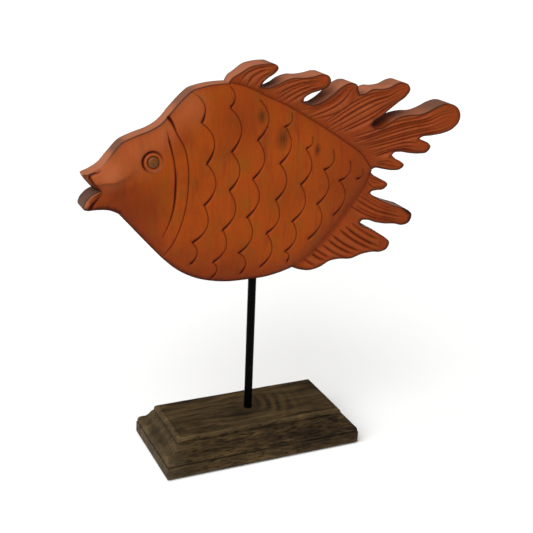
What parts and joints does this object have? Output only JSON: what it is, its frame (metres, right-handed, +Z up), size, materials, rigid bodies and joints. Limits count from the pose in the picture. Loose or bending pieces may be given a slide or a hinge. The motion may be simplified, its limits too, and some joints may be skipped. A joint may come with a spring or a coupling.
{
  "type": "fish figurine",
  "caption": "Carved wooden fish with scale lines and long ragged fins, standing on a black rod in a moulded dark wooden plinth.",
  "frame": {"origin": "on the resting face under the plinth, on the rod's axis", "axes": "+Z up along the rod, +X along the plinth towards the fish's tail, +Y towards the back of the fish"},
  "size_m": [0.3792, 0.099, 0.3836],
  "materials": {
    "fish_wood": "burnt-orange stain, brushed on, rubbed satin",
    "eye_wood": "olive-brown paint, satin",
    "black_rod": "black, satin",
    "plinth_wood": "dark olive-brown stain, satin",
    "screw_steel": "zinc plated",
    "dark_felt": "pressed felt"
  },
  "bodies": {
    "plinth": {"base": "plinth_wood", "base_felt": "dark_felt"},
    "spindle": {"rod": "black_rod", "base_screw": "screw_steel", "base_washer": "screw_steel"},
    "fish": {"fish_board": "fish_wood", "front_eye": "eye_wood", "rear_eye": "eye_wood"}
  },
  "joints": [
    {"name": "rod_turn", "type": "hinge", "parent": "plinth", "child": "spindle", "pos_m": [0, 0, 0.0365], "axis": [0, 0, 1], "continuous": true},
    {"name": "fish_lift", "type": "slide", "parent": "spindle", "child": "fish", "axis": [0, 0, 1], "range_m": [0, 0.045]}
  ]
}
